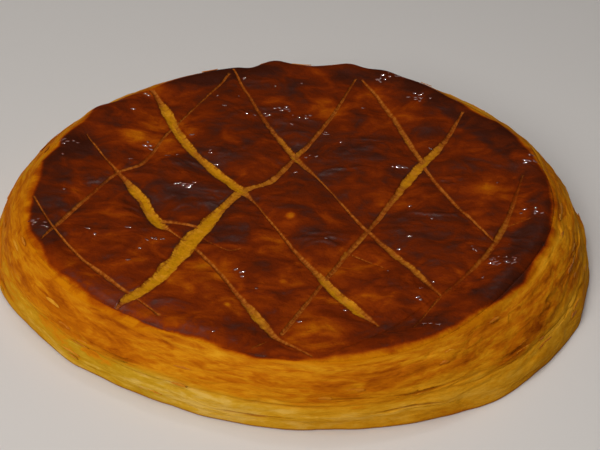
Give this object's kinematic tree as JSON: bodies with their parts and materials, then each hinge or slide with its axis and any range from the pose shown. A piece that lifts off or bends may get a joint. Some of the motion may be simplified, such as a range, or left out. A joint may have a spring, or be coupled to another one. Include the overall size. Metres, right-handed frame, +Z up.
{
  "type": "galette des rois",
  "caption": "Uncut round puff pastry cake with a flaky two-band wall, a flat underside and a dark glazed top scored in a lattice.",
  "frame": {"origin": "centre of the underside: the middle of the outline's box, at the level of the table", "axes": "+Z up out of the glazed top; +X to the right and +Y away from the viewer in the main view, whose widest gash points to the front left"},
  "size_m": [0.2786, 0.2716, 0.0299],
  "materials": {
    "flaky_crust": "golden baked puff pastry in fine leaves, satin from butter",
    "egg_glaze": "dark mahogany egg wash, baked glossy, with golden flesh in the knife scores"
  },
  "bodies": {
    "root": {"galette": "flaky_crust"}
  },
  "joints": []
}
